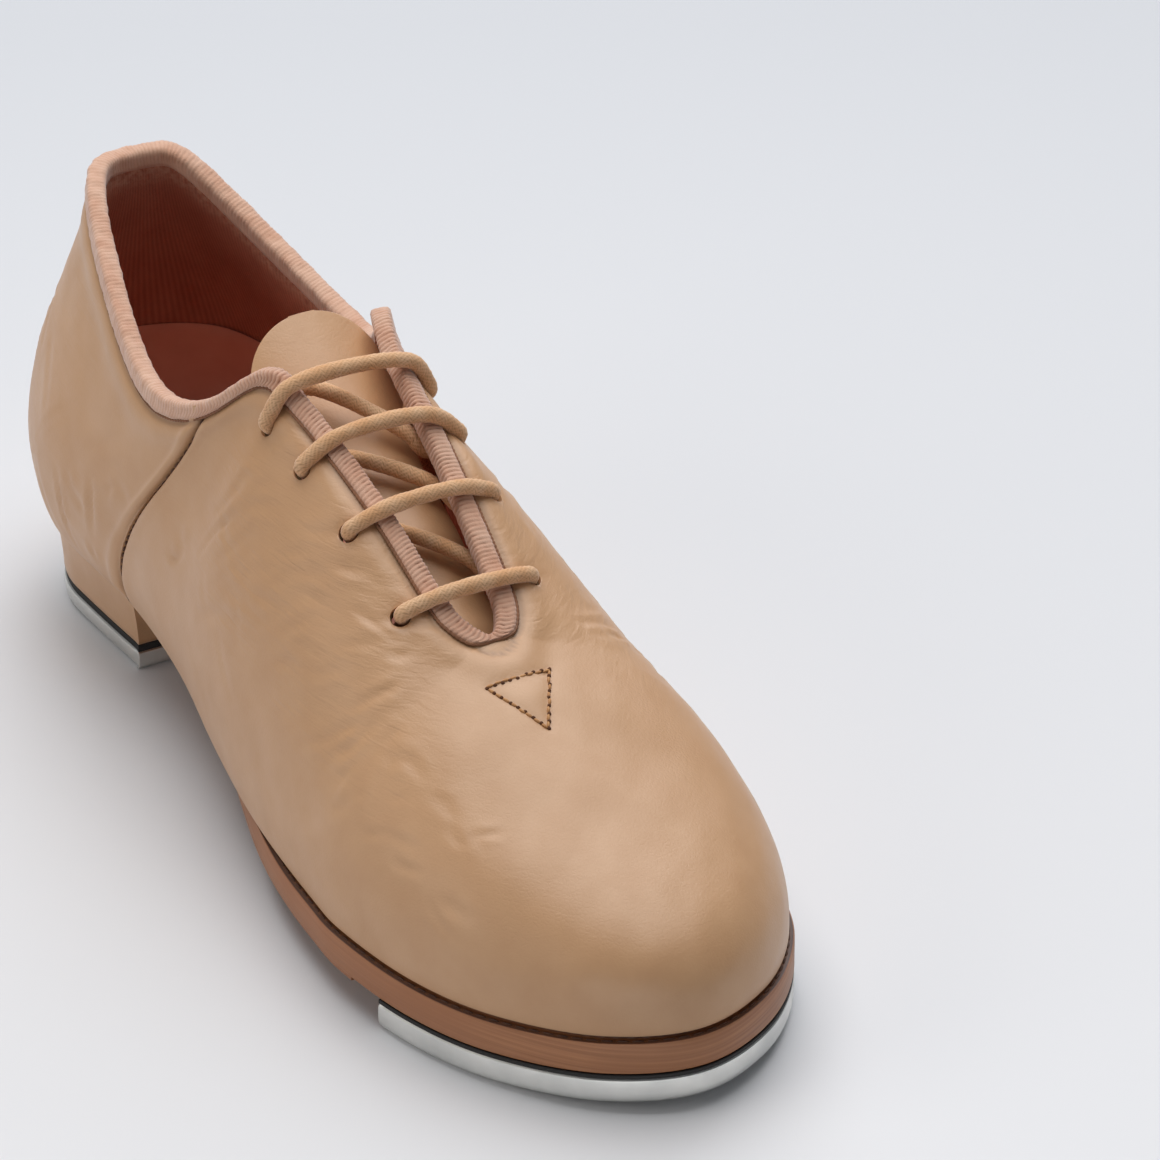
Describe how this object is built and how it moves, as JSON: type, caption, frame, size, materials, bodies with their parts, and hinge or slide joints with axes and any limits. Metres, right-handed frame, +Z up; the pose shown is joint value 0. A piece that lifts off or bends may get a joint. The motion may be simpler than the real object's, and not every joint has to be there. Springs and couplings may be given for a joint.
{
  "type": "tap shoe",
  "caption": "Closed laced oxford tap shoe for the right foot, with a low covered heel and a metal tap under the toe and the heel.",
  "frame": {"origin": "on the floor, under the middle of the whole shoe", "axes": "+X from the heel to the toe, +Y to the inner side of the foot, +Z up"},
  "size_m": [0.2588, 0.0878, 0.0993],
  "materials": {
    "upper_leather": "soft smooth tan leather, semi-matt",
    "heel_leather": "tan leather wrapped over the heel, semi-matt",
    "lining_cloth": "dark reddish-brown ribbed lining cloth",
    "sock_leather": "brown smooth sock leather",
    "binding_tape": "pinkish-tan ribbed stretch binding",
    "lace_cord": "golden-brown round braided lace",
    "lace_tip_film": "clear-brown film tips",
    "stiffener_board": "thermoplastic stiffener sheet",
    "insole_fibre": "leather-fibre board",
    "sole_leather": "layered brown sole leather, burnished edge",
    "tap_board_rubber": "matt black board and heel lift",
    "tap_metal": "bright satin aluminium",
    "steel_fastener": "plain steel",
    "heel_wood": "plain beech heel block"
  },
  "bodies": {
    "shoe": {"vamp": "upper_leather", "heel_quarter": "upper_leather", "vamp_lining": "lining_cloth", "quarter_lining": "lining_cloth", "heel_counter": "stiffener_board", "facing_stay_outer": "stiffener_board", "facing_stay_inner": "stiffener_board", "topline_binding": "binding_tape", "lace": "lace_cord", "lace_tip_1": "lace_tip_film", "lace_tip_2": "lace_tip_film", "sock_liner": "sock_leather", "insole_board": "insole_fibre", "bottom_filler": "stiffener_board", "shank": "steel_fastener", "outsole": "sole_leather", "ball_pad": "sole_leather", "heel_block": "heel_wood", "heel_cover": "heel_leather", "heel_lift": "tap_board_rubber", "heel_tap": "tap_metal", "heel_tap_screw_1": "steel_fastener", "heel_tap_screw_2": "steel_fastener", "heel_tap_screw_3": "steel_fastener", "heel_screw": "steel_fastener"},
    "toe": {"toe_tap": "tap_metal", "toe_tap_board": "tap_board_rubber", "toe_tap_screw_1": "steel_fastener", "toe_tap_screw_2": "steel_fastener", "toe_tap_screw_3": "steel_fastener", "toe_puff": "stiffener_board"},
    "tongue": {"tongue": "upper_leather", "tongue_lining": "lining_cloth"}
  },
  "joints": [
    {"name": "toe_flex", "type": "hinge", "parent": "shoe", "child": "toe", "pos_m": [0.06871, 0.00018, 0.011], "axis": [0, -1, 0], "range_deg": [-8, 40], "stiffness_Nm_per_rad": 3, "deforming": ["vamp", "vamp_lining", "sock_liner", "insole_board", "bottom_filler", "outsole"]},
    {"name": "tongue_fold", "type": "hinge", "parent": "shoe", "child": "tongue", "pos_m": [0.05231, -0.00062, 0.0558], "axis": [0, 1, 0], "range_deg": [-14, 0], "stiffness_Nm_per_rad": 0.15}
  ]
}
